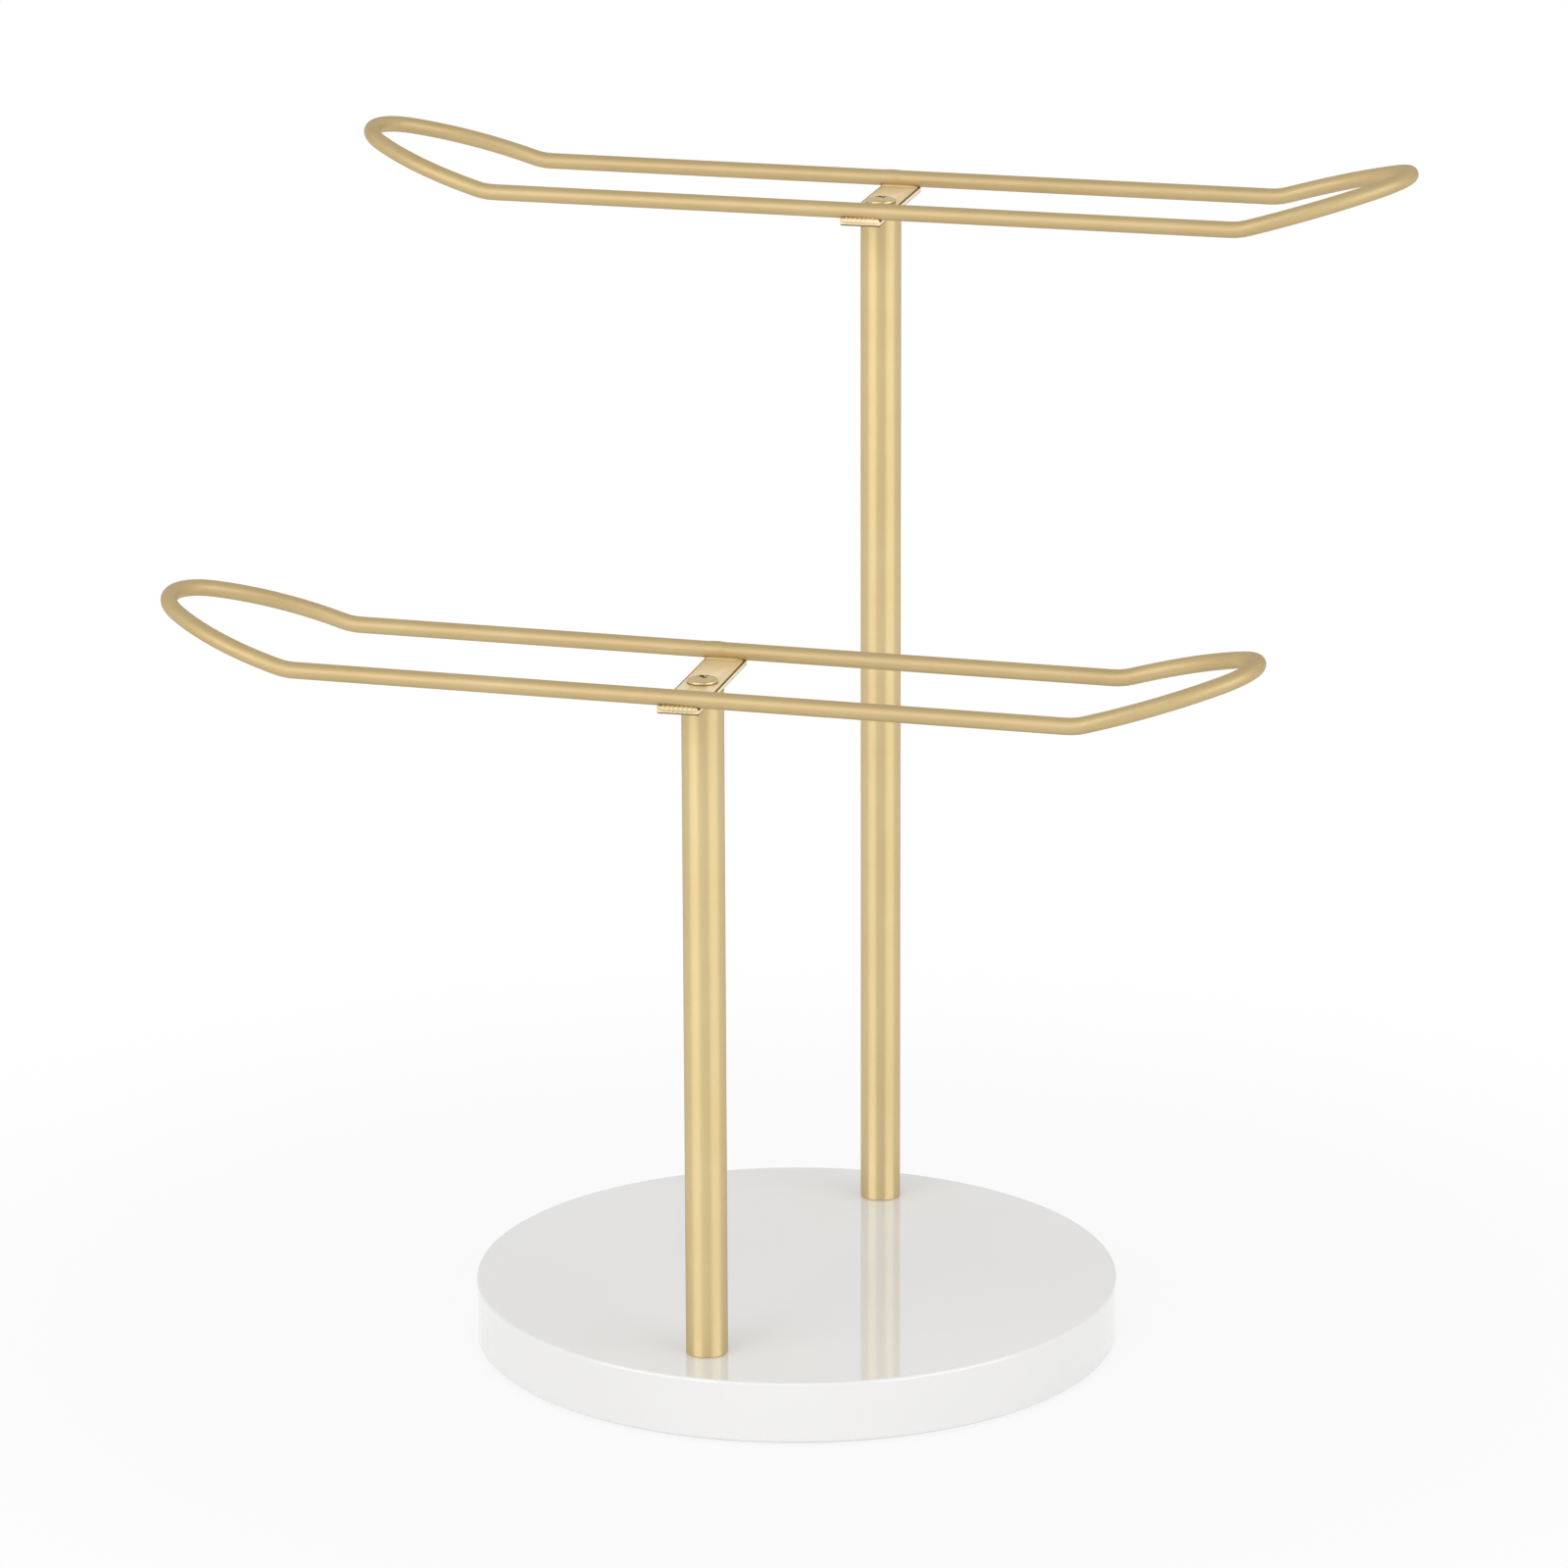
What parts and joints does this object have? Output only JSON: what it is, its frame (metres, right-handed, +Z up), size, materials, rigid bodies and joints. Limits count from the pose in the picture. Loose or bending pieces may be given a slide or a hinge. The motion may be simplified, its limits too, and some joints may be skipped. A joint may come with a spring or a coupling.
{
  "type": "headband holder stand",
  "caption": "Round board with a short and a tall tube post, each carrying a swivelling wire loop with upswept round ends that headbands hang on.",
  "frame": {"origin": "on the table under the centre of the round board", "axes": "+Z up, +X along both loops at rest, +Y from the short post's side towards the tall post's side"},
  "size_m": [0.3482, 0.2172, 0.3637],
  "materials": {
    "white_lacquer": "fibreboard under satin white lacquer",
    "satin_gold": "satin champagne gold plating on steel",
    "gold_screw": "satin champagne gold plating on a steel screw",
    "zinc_steel": "bright zinc on turned steel",
    "pad_foam": "dense matt anti-slip foam sheet"
  },
  "bodies": {
    "stand": {"base_disc": "white_lacquer", "base_pad": "pad_foam", "short_post_tube": "satin_gold", "short_post_top_plug": "zinc_steel", "short_post_foot_plug": "zinc_steel", "short_post_bolt": "zinc_steel", "short_post_washer": "zinc_steel", "tall_post_tube": "satin_gold", "tall_post_top_plug": "zinc_steel", "tall_post_foot_plug": "zinc_steel", "tall_post_bolt": "zinc_steel", "tall_post_washer": "zinc_steel", "lower_loop_screw": "gold_screw", "upper_loop_screw": "gold_screw"},
    "lower_loop": {"lower_loop_wire": "satin_gold", "lower_cross_strip": "satin_gold"},
    "upper_loop": {"upper_loop_wire": "satin_gold", "upper_cross_strip": "satin_gold"}
  },
  "joints": [
    {"name": "lower_loop_swivel", "type": "hinge", "parent": "stand", "child": "lower_loop", "pos_m": [-0.00564, -0.07679, 0.22805], "axis": [0, 0, 1], "range_deg": [-82, 73.5]},
    {"name": "upper_loop_swivel", "type": "hinge", "parent": "stand", "child": "upper_loop", "pos_m": [0.00564, 0.07679, 0.34405], "axis": [0, 0, 1], "continuous": true}
  ]
}
